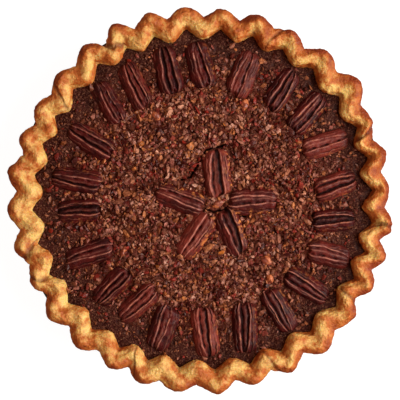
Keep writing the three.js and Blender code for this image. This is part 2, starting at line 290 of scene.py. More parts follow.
# How far the edges' swing has sharp notches, from 0 for a plain cosine to 1.
INNER_NOTCHED = 0.55
OUTER_NOTCHED = 0.8
RIM_TOP = 40.8
FILLING_EDGE = 31
FLANGE_REST = TIN_HEIGHT + 0.35
TIN_WALL_GAP = 0.45
CRUST_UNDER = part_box("pastry_crust")[0].z / MM
CRUST_INSIDE = CRUST_UNDER + 4
CRUST_FOOT_RADIUS = 86
CRUST_SHOULDER_RADIUS = 102.5
CRUST_SHOULDER = 24.0
CRUST_COLUMNS = 40 * FLUTES
ROWS_PER_SECTION = 6
# Where the pinched edge has folded over itself: flutes round the rim at the fold's inner and
# outer end, and its depth.
FOLDS = ((1.62, 1.80, 1.8), (30.93, 31.0, 1.5), (10.05, 10.5, 1.7), (16.95, 17.3, 1.5),
         (18.1, 17.85, 1.2), (5.55, 5.3, 0.9), (12.6, 12.3, 1.0), (25.4, 25.75, 0.9),
         (28.6, 28.35, 1.0), (21.45, 21.7, 0.8))


def mixed_digits(cell, seed):
    """A scattered whole number for each cube of space, from mixing the digits of its place."""
    key = cell @ np.array([374761393, 668265263, 1440662683]) + seed
    key = (key ^ (key >> 13)) * 1274126177
    return key ^ (key >> 16)


def soft_noise(points, size, seed):
    """Smooth noise from -1 to 1: scattered values at the corners of cubes of this size, blended
    smoothly inside each cube."""
    place = points / size + seed * 17.31
    cell = np.floor(place).astype(np.int64)
    part = place - cell
    part = part * part * (3 - 2 * part)
    total = np.zeros(points.shape[:-1])
    for corner in itertools.product((0, 1), repeat=3):
        value = (mixed_digits(cell + corner, seed) & 0xFFFF) / 0x7FFF - 1
        total += value * np.prod(np.where(corner, part, 1 - part), axis=-1)
    return total


def bubbles(points, size, seed):
    """Rounded swellings that touch each other, from 0 in the creases to 1 on top: one minus the
    squared distance to the nearest of some points, one of which lies by chance in each cube
    of this size."""
    place = points / size + seed * 11.7
    cell = np.floor(place).astype(np.int64)
    nearest = np.full(points.shape[:-1], 9.0)
    for step in itertools.product((-1, 0, 1), repeat=3):
        key = mixed_digits(cell + step, seed)
        inside = np.stack([key & 0x3FF, (key >> 10) & 0x3FF, (key >> 20) & 0x3FF], axis=-1) / 0x3FF
        nearest = np.minimum(nearest, np.sum((cell + step + inside - place) ** 2, axis=-1))
    return 1 - np.clip(nearest, 0, 1)


def groove(across, place, width):
    """1 in the middle of a groove, falling away smoothly on both sides."""
    return np.exp(-((across - place) / width) ** 2)


def along_flutes(f, per_flute):
    """Each flute's own number, passing smoothly into the next one's. f counts flutes."""
    flute = np.floor(f).astype(int)
    part = f - flute
    part = part * part * (3 - 2 * part)
    return per_flute[flute % FLUTES] * (1 - part) + per_flute[(flute + 1) % FLUTES] * part


def reach_of(table):
    """A number for every flute: those in the table, and 0 for the rest."""
    return np.array([table.get(flute, 0) for flute in range(FLUTES)], float)


def unevenness(f, trait):
    """A scattered number from -1 to 1 for each flute and trait: the digits of a steep sine."""
    scattered = np.sin(np.arange(FLUTES) * 12.9898 + trait * 78.233) * 43758.5453
    return along_flutes(f, 2 * (scattered - np.floor(scattered)) - 1)


def flute_angle(f):
    """Angle round the pie: even steps and a few slow waves of wandering."""
    even = 2 * np.pi * f / FLUTES + FIRST_FLUTE
    return even + sum(np.radians(size) * np.cos(waves * even + np.radians(phase))
                      for waves, size, phase in PINCH_WANDER)


def pinch(f):
    """1 at a flute's outer tip and -1 at its inner one: a cosine."""
    return np.cos(2 * np.pi * f)


def outer_swing(f, notched=OUTER_NOTCHED):
    """The swing of the outer edge: a cosine passing, as notched goes from 0 to 1, into round
    knobs with sharp notches between them, which are the size of a cosine of half the angle."""
    return (1 - notched) * pinch(f) + notched * (2 * np.abs(np.cos(np.pi * f)) - 1)


def inner_swing(f, notched=INNER_NOTCHED):
    """The same for the inner edge, whose knobs stick out the other way."""
    return (1 - notched) * pinch(f) + notched * (1 - 2 * np.abs(np.sin(np.pi * f)))


def rim_line(f):
    """Radius where the filling meets the pastry: it swings with the flutes."""
    return (LINE_RADIUS + LINE_SWING * inner_swing(f) + INNER_OFF_CENTRE * np.cos(flute_angle(f))
            + 0.4 * unevenness(f, 2))


def rim_inner(f, notched=INNER_NOTCHED):
    """Radius of the rim's inner edge: it swings with the flutes and lies off centre."""
    return (INNER_RADIUS + INNER_SWING * inner_swing(f, notched)
            + INNER_OFF_CENTRE * np.cos(flute_angle(f)) + 0.8 * unevenness(f, 2))


def rim_outer(f, notched=OUTER_NOTCHED):
    """Radius of the outer edge: it swings with the flutes, lies a little off centre, and some
    tips and notches reach further out than the rest."""
    notch = (1 - pinch(f)) / 2
    reach = (along_flutes(f, reach_of(TIP_REACH))
             + notch * along_flutes(f + 0.5, reach_of(NOTCH_REACH)))
    return (OUTER_RADIUS + OUTER_SWING * outer_swing(f, notched)
            + OUTER_OFF_CENTRE * np.cos(flute_angle(f) + OUTER_OFF_ANGLE) + reach)


def rim_controls(f):
    """Sections of the pinched edge from below the filling, over the top, to the flange, each as
    (radius, height) at every f. It is a plump roll, notched along its edges but smooth on top,
    and it dips on the side away from which the flute swings."""
    swing, line, outer = pinch(f), rim_line(f), rim_outer(f)
    crest = 0.52 + 0.08 * swing + 0.05 * unevenness(f, 3)
    top = RIM_TOP + 0.7 * unevenness(f, 4) - 0.6

    def across(share, height, notched=1):
        inner = rim_inner(f, INNER_NOTCHED * notched)
        return inner + (rim_outer(f, OUTER_NOTCHED * notched) - inner) * share, height + 0 * f

    sections = (
        (line - 0.6, np.full_like(f, CRUST_SHOULDER)),
        (line - 0.2, np.full_like(f, 30.0)),
        across(0.0, 34.0 + 0.5 * unevenness(f, 5)),
        across(0.08, 36.7 - 0.5 * swing, 0.75),
        across(0.28, top - 1.4 - 0.7 * swing, 0),
        across(crest, top - 1.1 * (1 - swing ** 2), 0),
        across(0.76, top - 1.4 + 0.7 * swing, 0),
        across(0.94, 36.7 + 0.4 * swing, 0.75),
        across(1.0, 34.6 + 0.5 * unevenness(f, 6)),
        (outer - 2.2, np.full_like(f, FLANGE_REST + 0.2)),
        (np.full_like(f, 114.5), np.full_like(f, FLANGE_REST)),
    )
    return np.stack([np.stack(section, axis=-1) for section in sections])


def spline_rows(controls, steps):
    """Rows along a smooth curve through rows of control points. Between two rows it is the
    cubic that has both their slopes, and a slope is half the step from the row before to the
    row after."""
    before = np.concatenate([controls[:1], controls[:-1]])
    after = np.concatenate([controls[1:], controls[-1:]])
    slope = (after - before) / 2
    t = (np.arange(steps) / steps)[None, :, None, None]
    start, end = controls[:-1, None], controls[1:, None]
    rows = (start * (1 + 2 * t) * (1 - t) ** 2 + slope[:-1, None] * t * (1 - t) ** 2
            + end * t ** 2 * (3 - 2 * t) + slope[1:, None] * t ** 2 * (t - 1))
    return np.concatenate([rows.reshape(-1, *controls.shape[1:]), controls[-1:]])


def outward(grid):
    """Unit normals of a grid of points: across both directions of the grid."""
    down = np.gradient(grid, axis=0)
    round_it = (np.roll(grid, -1, axis=1) - np.roll(grid, 1, axis=1)) / 2
    normal = np.cross(down, round_it)
    return normal / (np.linalg.norm(normal, axis=-1, keepdims=True) + 1e-12)


def pastry_finish():
    """Baked pastry: pale gold passing into orange-brown and dark spots as its bake and its painted
    shade grow, with dark painted shade in folds, and covered in fine blisters."""
    material, tree, shader = new_material(
        "baked_pastry", Specular_IOR_Level=0.35, Subsurface_Weight=0.35,
        Subsurface_Radius=(1.0, 0.4, 0.15), Subsurface_Scale=2.5 * MM)
    patches = mottled(tree, 7.0, 0.35, 0.68, 3.0, 4.0)
    spots = mottled(tree, 2.4, 0.50, 0.68, 5.0, 4.0)
    freckles = mottled(tree, 1.2, 0.50, 0.66, 7.0, 2.0)
    # The stored bake carries painted shade on steep faces as well as the bake.
    bake_and_shade = reckoned(tree, "MULTIPLY_ADD", patches, 0.48, attribute(tree, "bake_and_shade"))
    bake_and_shade = reckoned(tree, "MULTIPLY_ADD", spots, 0.12, bake_and_shade, clamp=True)
    pale = mixed(tree, reckoned(tree, "MULTIPLY", bake_and_shade, 2.0, clamp=True),
                 colour(227, 190, 113), colour(183, 102, 40))
    toasted = mixed(tree, reckoned(tree, "MULTIPLY_ADD", bake_and_shade, 2.0, -1.0, clamp=True),
                    pale, colour(132, 52, 15))
    toasted = mixed(tree, reckoned(tree, "MULTIPLY", freckles, 0.12), toasted, colour(158, 76, 26))
    # Painted shade: the folds are coloured dark brown.
    base = mixed(tree, attribute(tree, "fold"), toasted, colour(84, 32, 10))
    tree.links.new(base, shader.inputs["Base Color"])
    rough = reckoned(tree, "MULTIPLY_ADD", spots, -0.15, 0.62)
    tree.links.new(rough, shader.inputs["Roughness"])
    blister = mottled(tree, 1.8, 0.25, 0.75, 9.0, 2.0)
    bumped(tree, shader, blister, 0.4)
    return material


crust_f = np.arange(CRUST_COLUMNS) * FLUTES / CRUST_COLUMNS
rim = spline_rows(rim_controls(crust_f), ROWS_PER_SECTION)
crust_angle = flute_angle(crust_f)[None]
rim_points = polar(rim[..., 0], crust_angle, rim[..., 1])
rim_share = np.linspace(0, 1, len(rim))[:, None]
fold = np.zeros(rim.shape[:2])
for inner_end, outer_end, depth in FOLDS:
    along = np.clip((rim_share - 0.2) / 0.55, 0, 1)
    middle = inner_end + (outer_end - inner_end) * along + 0.05 * np.sin(5 * along + inner_end)
    away = (crust_f[None] - middle + FLUTES / 2) % FLUTES - FLUTES / 2
    fade = np.clip((rim_share - 0.16) / 0.1, 0, 1) * np.clip((0.86 - rim_share) / 0.12, 0, 1)
    fold = np.maximum(fold, depth * fade * np.exp(-(away / 0.06) ** 2))
steepness = 1 - np.clip(outward(rim_points)[..., 2], 0, 1)
puffed = bubbles(rim_points, 5.2, 4)
blistered = bubbles(rim_points + 0.5 * soft_noise(rim_points, 1.3, 5)[..., None], 1.9, 5)
relief = (0.75 * soft_noise(rim_points, 7, 1) + 0.55 * (puffed - 0.75) + 0.27 * (blistered - 0.7)
          + 0.25 * soft_noise(rim_points, 2.6, 2) + 0.2 * soft_noise(rim_points, 1.3, 3) - fold - 0.2
          + 0.7 * soft_noise(rim_points, 1.9, 24) * groove(rim_share, 0.19, 0.07))
showing = np.clip((rim_share - 0.08) / 0.06, 0, 1) * np.clip((0.95 - rim_share) / 0.06, 0, 1)
rim_points = rim_points + outward(rim_points) * (relief * showing)[..., None]
inside = [polar(CRUST_FOOT_RADIUS, crust_angle, CRUST_INSIDE),
          polar(CRUST_SHOULDER_RADIUS, crust_angle, CRUST_SHOULDER)]
outside = [polar(tin_wall(z) - TIN_WALL_GAP, crust_angle, z) for z in (FLANGE_REST, CRUST_UNDER)]
crust_rings = np.concatenate([*inside, rim_points, *outside])
box_low, box_high = (np.array(corner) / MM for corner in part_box("pastry_crust"))
crust_rings = np.clip(crust_rings, box_low, box_high)
crust = solid_of_rings("crust", crust_rings, (0, 0, CRUST_INSIDE), (0, 0, CRUST_UNDER))


def on_all_rings(values, plain):
    """Values on the rim's rows, with a plain one on the hidden rows and poles around them."""
    hidden = np.full((2, CRUST_COLUMNS), plain)
    return np.append(np.concatenate([hidden, values, hidden]), [plain, plain])


outer_side = np.clip((rim_share - 0.45) / 0.3, 0, 1)
toward_lamp = np.clip(np.cos(crust_angle - 0.3), 0, 1)
# Bake and painted shade: random patches, darker in the creases between puffs and blisters, darker
# down the outer side and most towards +X, and painted shade on steep faces, the more towards the lamp
# at +X and on the outer side.
bake_and_shade = (-0.03 + 0.25 * soft_noise(rim_points, 11, 6)
        + 0.2 * np.clip(soft_noise(rim_points, 4, 7), 0, 1)
        + 0.14 * (0.7 - puffed) + 0.06 * (0.7 - blistered)
        + outer_side * (0.32 + 0.1 * pinch(crust_f) + 0.55 * toward_lamp)
        + steepness * (0.15 + 0.25 * toward_lamp + 0.25 * outer_side))
store(crust, "bake_and_shade", on_all_rings(bake_and_shade, 0.2))
# Painted shade in the folds, the deeper the fold the darker.
store(crust, "fold", on_all_rings(np.clip(fold, 0, 1) * 0.6, 0.0))
settle(crust, pastry_finish(), "baked_pastry", "pastry_crust")


# ------------------------------------------------------------------------- nut filling
# Baked custard of syrup, eggs and sugar, set firm with finely chopped nuts in it. It domes a
# little, shows grain and small hollows, and has cracked in two places round the star.

FILLING_DOME = 1.4
FILLING_RADIUS = 108
CUSTARD_UNDER = FILLING_EDGE - 8
GRID_POINTS = 300
# Each crack as a chain of places on the filling, in millimetres from the middle.
CRACKS = (
    ((-12.6, 13.0), (-6.7, 14.4), (-1.5, 23.0), (3.7, 32.0),
     (7.0, 33.0), (11.6, 34.0), (16.2, 35.6)),
    ((3.7, -6.0), (8.3, -8.2), (12.9, -6.9), (16.8, -5.3),
     (20.1, -7.2), (24.0, -9.9), (29.2, -11.2)),
)


def filling_height(x, y):
    """Height of the custard: its edge height and a shallow dome."""
    return FILLING_EDGE + FILLING_DOME * (1 - (x * x + y * y) / FILLING_RADIUS ** 2)


def crack_distance(x, y):
    """Distance from each point to the nearest crack, which is a chain of straight stretches."""
    nearest = np.full(np.shape(x), 1e3)
    for crack in CRACKS:
        for (ax, ay), (bx, by) in zip(crack, crack[1:]):
            run = (bx - ax, by - ay)
            share = ((x - ax) * run[0] + (y - ay) * run[1]) / (run[0] ** 2 + run[1] ** 2)
            share = np.clip(share, 0, 1)
            away = np.hypot(x - ax - share * run[0], y - ay - share * run[1])
            nearest = np.minimum(nearest, away)
    return nearest


def disc_from_square(across, along):
    """Radius share and angle on a disc for a place on a square from -1 to 1: squares round the
    middle become circles, and a side becomes a quarter of the circle."""
    sideways = np.abs(across) > np.abs(along)
    safe = np.where(sideways, across, np.where(along == 0, 1, along))
    radius = np.where(sideways, across, along)
    angle = np.where(sideways, np.pi / 4 * along / safe, np.pi / 2 - np.pi / 4 * across / safe)
    return np.abs(radius), np.where(radius < 0, angle + np.pi, angle)


def custard_finish():
    """Baked custard: dark brown and nuttier in the middle, with paler grain and flecks, and
    painted shade that makes it nearly black in hollows and cracks."""
    material, tree, shader = new_material(
        "baked_custard", Coat_Roughness=0.3, Specular_IOR_Level=0.08)
    clouds = mottled(tree, 9, 0.35, 0.65, 2.0)
    grain = mottled(tree, 1.1, 0.42, 0.66, 4.0, 4.0)
    flecks = mottled(tree, 1.5, 0.58, 0.7, 6.0, 2.0)
    base = mixed(tree, clouds, colour(40, 6, 5), colour(62, 24, 19))
    base = mixed(tree, attribute(tree, "nutty"), base, colour(108, 44, 30))
    base = mixed(tree, reckoned(tree, "MULTIPLY", grain, 0.65), base, colour(112, 66, 51))
    base = mixed(tree, reckoned(tree, "MULTIPLY", flecks, 0.5), base, colour(162, 112, 88))
    # Painted shade: nearly black in hollows and cracks.
    base = mixed(tree, attribute(tree, "hollow"), base, colour(14, 1, 1))
    tree.links.new(base, shader.inputs["Base Color"])
    rough = reckoned(tree, "MULTIPLY_ADD", clouds, 0.2, 0.42)
    tree.links.new(rough, shader.inputs["Roughness"])
    tree.links.new(reckoned(tree, "MULTIPLY", clouds, 0.05), shader.inputs["Coat Weight"])
    bumped(tree, shader, grain, 0.7)
    return material


even = np.linspace(-1, 1, GRID_POINTS)
even = even * (0.66 + 0.34 * even ** 2)
disc_radius, disc_angle = disc_from_square(*np.meshgrid(even, even, indexing="ij"))
turn_f = np.linspace(-1, FLUTES + 1, 4000)
edge_radius = np.interp((disc_angle - flute_angle(0)) % (2 * np.pi) + flute_angle(0),
                        flute_angle(turn_f), rim_line(turn_f)) + 0.5
top_x = disc_radius * edge_radius * np.cos(disc_angle)
top_y = disc_radius * edge_radius * np.sin(disc_angle)
level = np.stack([top_x, top_y, np.zeros_like(top_x)], axis=-1)
crack = np.exp(-(crack_distance(top_x + 0.35 * soft_noise(level, 1.6, 8), top_y) / 0.55) ** 2)
hollows = np.clip(soft_noise(level, 3.6, 9) - 0.15, 0, 1)
lumps = bubbles(level, 4.5, 11)
near_rim = np.clip((disc_radius - 0.9) / 0.1, 0, 1)
top_z = (filling_height(top_x, top_y) + 0.5 * soft_noise(level, 13, 10)
         + (0.9 * (lumps - 0.6) + 0.5 * (bubbles(level, 2, 12) - 0.6)) * (1 - 0.3 * near_rim)
         - 0.9 * hollows - 3.5 * crack - 0.6 * near_rim ** 2)
top = np.stack([top_x, top_y, top_z], axis=-1)


def filling_mesh():
    """The custard as a closed body: the grid on top, straight sides down from its border, and
    a flat underside that fans out from the middle."""
    count = GRID_POINTS
    row, column = np.meshgrid(np.arange(count - 1), np.arange(count - 1), indexing="ij")
    here = row * count + column
    quads = np.stack([here, here + count, here + count + 1, here + 1], axis=-1).reshape(-1, 4)
    side = np.arange(count - 1)
    border = np.concatenate([side * count, (count - 1) * count + side,
                             (count - 1 - side) * count + count - 1, count - 1 - side])
    rim_of_top = top.reshape(-1, 3)[border]
    below = rim_of_top * [0.96, 0.96, 0] + [0, 0, CUSTARD_UNDER]
    lower = count * count + np.arange(len(border))
    skirt = np.stack([border, lower, np.roll(lower, -1), np.roll(border, -1)], axis=-1)
    middle = count * count + len(border)
    fan = np.stack([np.roll(lower, -1), lower, np.full(len(border), middle)], axis=-1)
    points = np.concatenate([top.reshape(-1, 3), below, [[0, 0, CUSTARD_UNDER]]])
    piece = surface_object("custard", points, np.concatenate([quads, skirt]), fan)
    # Painted shade for the hollows and cracks.
    sunk = np.clip(crack * 1.4 + 0.75 * hollows, 0, 1)
    store(piece, "hollow", np.append(sunk.ravel(), np.zeros(len(border) + 1)))
    wavering = np.hypot(top_x, top_y) + 6 * soft_noise(level, 7, 14)
    nutty = np.interp(wavering, [74, 92], [0.75, 0])
    store(piece, "nutty", np.append(nutty.ravel(), np.zeros(len(border) + 1)))
    return piece


custard = filling_mesh()
settle(custard, custard_finish(), "set_filling", "nut_filling")


# ------------------------------------------------------------------------- pecan halves
# Roasted pecan halves pressed into the custard, ridged side up: a ring of them round the edge,
# whose outer ends have sunk in, and five as a star. Glazed by the syrup, with a pale painted
# highlight on the ridges, painted shade in the grooves and painted light on the side towards +X.

NUT_RISE = 4.2
NUT_SINK = 2.4
NUT_STATIONS = 84
NUT_ACROSS = 64
NUT_UNDER = 8
STAR_REACH = 50
HALVES = sorted(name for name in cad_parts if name.startswith("pecan_half"))
# The halves that are roasted paler than the rest, by number, and how much.
PALER_ROAST = {1: 0.4, 2: 0.45, 5: 0.35, 8: 0.2, 15: 0.3, 17: 0.6, 21: 0.2, 23: 0.6, 26: 0.6}


def lying(name):
    """How a CAD nut lies: its middle at the widest level, its axes as rows (along, across, up)
    and its half length and half width. Along is its points' longest spread, pointing away
    from the pie's middle."""
    points = np.array([v.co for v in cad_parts[name].data.vertices]) / MM
    points = np.unique(points.round(3), axis=0)
    centre = (points.max(0) + points.min(0)) / 2
    along = np.linalg.eigh(np.cov((points - centre).T))[1][:, -1]
    along = along * np.sign(along @ (centre * [1, 1, 0]))
    across = np.cross([0, 0, 1], along)
    across /= np.linalg.norm(across)
    axes = np.array([along, across, np.cross(along, across)])
    own = (points - centre) @ axes.T
    low, high = own.min(0), own.max(0)
    middle = (low + high) / 2
    middle[2] = low[2] + (high[2] - low[2]) * NUT_SINK / (NUT_SINK + 0.98 * NUT_RISE)
    return centre + middle @ axes, axes, (high - low)[:2] / 2


def half_surface(half_length, half_width, own, dark_end):
    """A pecan half in its own axes, with masks of its crests, which get a painted highlight, and
    of its grooves, which get painted shade. From above it has nearly straight sides and blunt
    ends, with a bay between the two lobes. Across the top, each lobe slopes from a sharp crest to
    its side. Between the crests lies a steep-sided valley, wider towards the inner end, with a
    middle ridge in it that is lower and narrower towards the outer end. Crinkled grooves run along
    the lobes. own is the nut's own source of chance, and dark_end says how much its outer end is
    darkened, from 0 to 1."""
    t = np.linspace(-1, 1, NUT_STATIONS)[:, None]
    s = t * (1.28 - 0.28 * t ** 2)
    u = np.linspace(1, -1, NUT_ACROSS)
    u = (u * (1.15 - 0.15 * u ** 2))[None]
    chance = own.uniform(-1, 1, 20)
    sway = 0.06 * np.sin(2.2 * s + 3 * chance[0]) + 0.02 * np.sin(7 * s + 3 * chance[1])
    crinkle = 0.03 * np.sin(11 * s + 3 * chance[2]) + 0.022 * np.sin(23 * s + 3 * chance[3])
    inner_end = np.clip(-s - 0.35, 0, 0.65) / 0.65
    outer_end = np.clip(s - 0.45, 0, 0.55) / 0.55
    spread = 1 - 0.25 * s + 0.25 * chance[4] - 0.3 * np.abs(s) ** 4
    side = u - 0.14 * chance[5] - sway
    away = np.abs(side)
    crest = np.clip(0.37 * spread, 0.2, 0.5) + 0.25 * crinkle
    depth = 0.52 + 0.08 * chance[10] + 0.14 * inner_end ** 2
    valley = np.clip(1 - (away / crest) ** 2.5, 0, 1)
    middle_width = 0.2 + 0.03 * chance[8] - 0.05 * s
    middle = (np.clip(0.8 + 0.25 * chance[19], 0.55, 0.95) * (1 - 0.3 * outer_end)
              * np.exp(-((side - 0.05 * chance[6] - 0.6 * crinkle) / middle_width) ** 4))
    hollow = np.clip(valley - middle, 0, 1)
    roof = 1 - 0.48 * np.clip((away - crest) / (1 - crest), 0, 1) ** 1.7
    broken = np.clip(0.75 + 0.5 * np.sin(4 * s + 3 * chance[11]), 0, 1)
    place = 0.6 + 0.07 * np.where(u > 0, chance[12], chance[14]) + crinkle
    shallow = (groove(np.abs(u), place, 0.05) * broken
               * (0.7 + 0.5 * np.where(u > 0, chance[13], chance[15])))
    faint = (groove(np.abs(u), place + 0.19 - 1.6 * crinkle, 0.04)
             * np.clip(0.6 + 0.6 * np.sin(6 * s + 3 * chance[16]), 0, 1))
    flat = np.stack(np.broadcast_arrays(s * half_length, u * half_width, 50 * chance[17]), -1)
    wrinkle = soft_noise(flat * [0.4, 1, 1], 1.5, 21) + 0.7 * soft_noise(flat * [0.5, 1, 1], 0.75, 22)
    ripple = soft_noise(flat * [1, 0.35, 1], 2.2, 23)
    edge = (1 - np.abs(u) ** 8) ** 0.5
    blunt = (1 - s ** 8) ** 0.5
    shape = roof - depth * hollow - 0.14 * shallow - 0.08 * faint
    height = (NUT_RISE * edge * (0.1 + 0.9 * blunt) * shape
              * (1 + 0.06 * ripple) * (0.97 - 0.15 * s))
    height = np.minimum(height + 0.2 * wrinkle * edge * blunt, 0.98 * NUT_RISE)
    bay = (0.04 + 0.1 * (s < 0)) * groove(side, 0, 0.22) * s ** 6
    lean = 0.07 * chance[18] * np.tanh(4 * side) * (inner_end ** 2 + 0.6 * outer_end ** 2)
    length = s * (1 - 0.1 * u ** 2 * s ** 4 - bay) + lean
    width = (u * (1 - 0.24 * s ** 6) * (0.97 - 0.03 * s)
             * (1 + 0.02 * np.sin(7 * s + 3 * chance[2])))
    top_side = np.stack(
        np.broadcast_arrays(length * half_length, width * half_width, height), axis=-1)
    back = np.linspace(-1, 1, NUT_UNDER + 2)[None, 1:-1]
    under = np.stack(np.broadcast_arrays(
        s * half_length * (0.98 - 0.1 * back ** 2), 0.9 * back * half_width * (1 - 0.36 * s ** 4),
        -NUT_SINK * (0.12 + 0.88 * blunt) * (1 - 0.4 * back ** 2)), axis=-1)
    plain = np.zeros((len(s), NUT_UNDER))
    # Colour masks: a painted highlight along the crests, painted shade in the grooves, and the outer
    # end darkened.
    crests = (groove(away, crest + 0.03, 0.045)
              + 0.4 * middle * groove(side, 0.05 * chance[6] + 0.05, 0.06)
              + 0.3 * groove(np.abs(u), place + 0.08, 0.035) * broken)
    ridge_highlight = np.clip(crests * (0.7 + 0.6 * wrinkle), 0, 1) * (1 - 0.5 * outer_end)
    sunk = (np.clip(5 * hollow - 1.7, 0, 1) + 0.9 * shallow + 0.5 * faint
            + dark_end * outer_end * (1 - ridge_highlight))
    return (np.concatenate([top_side, under], axis=1),
            np.concatenate([np.broadcast_to(ridge_highlight, height.shape), plain], axis=1),
            np.concatenate([np.broadcast_to(np.clip(sunk, 0, 1), height.shape), plain], axis=1))


def nut_finish():
    """Roasted nut skin: mahogany, some nuts paler, with painted shade that makes the grooves nearly
    black, a pale pink painted highlight along the ridges, orange patches on the side towards +X
    that are partly worn skin and partly painted light, and a satin glaze."""
    material, tree, shader = new_material(
        "roasted_nut", Coat_Roughness=0.28, Specular_IOR_Level=0.1)
    clouds = mottled(tree, 6, 0.35, 0.65, 1.0)
    lit_and_worn = mottled(tree, 2.4, 0.5, 0.66, 3.0, 4.0)
    fine = mottled(tree, 0.7, 0.3, 0.7, 5.0, 3.0)
    skin = mixed(tree, clouds, colour(48, 5, 8), colour(80, 17, 15))
    paler = reckoned(tree, "MULTIPLY_ADD", clouds, 0.5, 0.5)
    paler = reckoned(tree, "MULTIPLY", paler, attribute(tree, "pale_roast"))
    skin = mixed(tree, paler, skin, colour(142, 58, 46))
    # Painted highlight: pale pink along the ridges.
    crest = reckoned(tree, "MULTIPLY", attribute(tree, "ridge_highlight"), 0.6)
    skin = mixed(tree, crest, skin, colour(214, 142, 126))
    # Painted light, partly worn skin: orange patches on the ridges and on the side towards +X.
    lit_flesh_share = reckoned(tree, "MULTIPLY", attribute(tree, "lit_and_worn"), lit_and_worn, clamp=True)
    skin = mixed(tree, lit_flesh_share, skin, colour(206, 124, 66))
    # Painted shade: nearly black in the grooves, darker at the outer end.
    skin = mixed(tree, attribute(tree, "groove"), skin, colour(26, 1, 1))
    tree.links.new(skin, shader.inputs["Base Color"])
    rough = reckoned(tree, "MULTIPLY_ADD", fine, 0.16, 0.45)
    tree.links.new(rough, shader.inputs["Roughness"])
    glazed = reckoned(tree, "MULTIPLY_ADD", attribute(tree, "groove"), -0.14, 0.14, clamp=True)
    tree.links.new(glazed, shader.inputs["Coat Weight"])
    bumped(tree, shader, fine, 0.2)
    return material


nut_skin = nut_finish()
footprints = []
for number, name in enumerate(HALVES):
    middle, axes, half_size = lying(name)
    footprints.append((middle, axes, half_size))
    own = np.random.default_rng(100 + number)
    in_star = np.hypot(middle[0], middle[1]) < STAR_REACH
    rings, ridge_highlight, sunk = half_surface(*half_size, own, 0.0 if in_star else 0.35)
    ends = np.array([[-1, 0, 0.2], [1, 0, 0.2]]) * [0.985 * half_size[0], 1, NUT_RISE]
    half = solid_of_rings(name.replace("_half_", "_nut_"), rings @ axes + middle,
                          *(ends @ axes + middle))
    # Painted light: the lobe on the side towards the lamp at +X is lit orange, more so in the star,
    # and the ridges with their painted highlight join it.
    lamp_side_light = np.clip(rings[..., 1] * np.sign(axes[1, 0]) / half_size[1] - 0.45, 0, 0.5)
    lit_edge = np.clip(0.4 * ridge_highlight + lamp_side_light * (2.0 if in_star else 0.6), 0, 1)
    store(half, "ridge_highlight", np.append(ridge_highlight * (1.4 if in_star else 1.0), [0, 0]))
    store(half, "groove", np.append(sunk, [0, 0]))
    store(half, "lit_and_worn", np.append(lit_edge * own.uniform(0.9 if in_star else 0.3, 1.5), [0, 0]))
    paleness = PALER_ROAST.get(number + 1, 0.1 if in_star else 0.0)
    store(half, "pale_roast", np.full(ridge_highlight.size + 2, paleness))
    settle(half, nut_skin, "roasted_pecan", name)


# ---------------------------------------------------------------- broken pecan pieces
# Six larger bits of pecan that broke off in handling and were left among the chopped nuts,
# showing orange flesh at the breaks. They sit half sunk in the custard.

PIECES = sorted(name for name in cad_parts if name.startswith("pecan_piece"))


def lump_surface(half_length, half_width, rise, seed):
    """A broken lump: an ellipsoid whose surface is pushed in and out by two sizes of noise,
    with its underside flattened."""
    t = np.linspace(-1, 1, 34)[1:-1, None]
    station = t * (1.3 - 0.3 * t ** 2)
    turn = np.arange(30)[None] * 2 * np.pi / 30
    full = np.sqrt(1 - station ** 2)
    ball = np.stack(np.broadcast_arrays(station, full * np.cos(turn), full * np.sin(turn)), axis=-1)
    bulge = 1 + 0.22 * soft_noise(ball, 0.7, seed) + 0.09 * soft_noise(ball, 0.28, seed + 1) - 0.06
    ball = ball * np.minimum(bulge, 1.0)[..., None]
    up = np.where(ball[..., 2] > 0, rise, NUT_SINK)
    return np.stack([ball[..., 0] * half_length, ball[..., 1] * half_width,
                     ball[..., 2] * up], axis=-1)


def broken_finish():
    """Broken nut: orange-tan flesh with patches of red-brown skin and dark glaze in pits."""
    material, tree, shader = new_material("broken_nut", Coat_Roughness=0.3, Specular_IOR_Level=0.5)
    skin = mottled(tree, 3.2, 0.42, 0.6, 2.0)
    pits = mottled(tree, 1.2, 0.55, 0.75, 4.0)
    base = mixed(tree, skin, colour(190, 106, 62), colour(126, 54, 34))
    base = mixed(tree, pits, base, colour(70, 28, 18))
    tree.links.new(base, shader.inputs["Base Color"])
    tree.links.new(reckoned(tree, "MULTIPLY_ADD", pits, -0.15, 0.5), shader.inputs["Roughness"])
    tree.links.new(reckoned(tree, "MULTIPLY", skin, 0.3), shader.inputs["Coat Weight"])
    bumped(tree, shader, pits, 0.3)
    return material


broken_skin = broken_finish()
for number, name in enumerate(PIECES):
    middle, axes, half_size = lying(name)
    footprints.append((middle, axes, half_size * 0.8))
    rings = lump_surface(*half_size, 0.8 * NUT_RISE, 40 + 3 * number)
    ends = np.array([[-half_size[0], 0, 0.5], [half_size[0], 0, 0.5]]) * [0.96, 1, 1]
    lump = solid_of_rings(name.replace("pecan_piece", "broken_pecan"), rings @ axes + middle,
                          *(ends @ axes + middle))
    settle(lump, broken_skin, "broken_pecan", name)


# ------------------------------------------------------------------------ chopped nuts
# Nuts chopped small and stirred through the custard. In the middle they stand proud in a dense
# crust of glazed bits, and towards the rim most have sunk and only a few show.

SCATTER_RADIUS = 105
# A ball of twelve points and twenty triangles, whose corners follow from the golden ratio.
GOLDEN = 1.618
BALL_REACH = 1.902
BALL = np.array([(0, 1, GOLDEN), (0, -1, GOLDEN), (0, 1, -GOLDEN), (0, -1, -GOLDEN),
                 (1, GOLDEN, 0), (-1, GOLDEN, 0), (1, -GOLDEN, 0), (-1, -GOLDEN, 0),
                 (GOLDEN, 0, 1), (-GOLDEN, 0, 1), (GOLDEN, 0, -1), (-GOLDEN, 0, -1)]) / BALL_REACH


